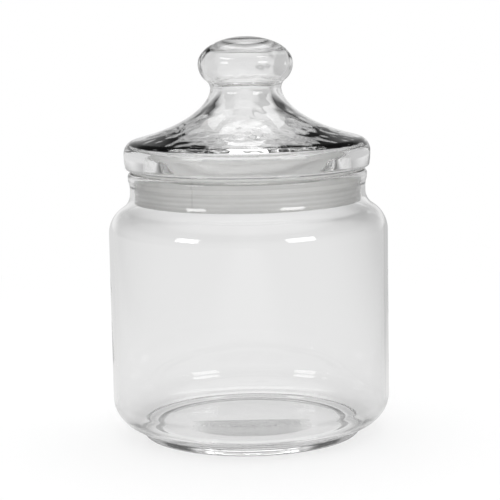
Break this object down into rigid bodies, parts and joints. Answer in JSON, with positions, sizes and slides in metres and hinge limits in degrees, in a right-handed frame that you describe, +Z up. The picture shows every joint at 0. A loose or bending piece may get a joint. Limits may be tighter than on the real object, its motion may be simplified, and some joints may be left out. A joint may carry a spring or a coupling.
{
  "type": "apothecary jar",
  "caption": "Round clear glass storage jar with a rounded shoulder and beaded neck, a hollow glass lid with a flattened round knob, and a ribbed plastic seal.",
  "frame": {"origin": "centre of the foot ring, on the surface that the jar stands on", "axes": "+Z up along the axis of jar, seal and lid; X and Y level, alike by symmetry, with -Y the front"},
  "size_m": [0.132, 0.132, 0.1884],
  "materials": {
    "glass": "gloss",
    "seal_plastic": "satin"
  },
  "bodies": {
    "jar": {"jar": "glass"},
    "seal": {"seal": "seal_plastic"},
    "lid": {"lid": "glass"}
  },
  "joints": [
    {"name": "lid_lift", "type": "slide", "parent": "jar", "child": "seal", "axis": [0, 0, 1], "range_m": [0, 0.06]},
    {"name": "lid_from_seal", "type": "slide", "parent": "seal", "child": "lid", "axis": [0, 0, 1], "range_m": [0, 0.03]}
  ]
}
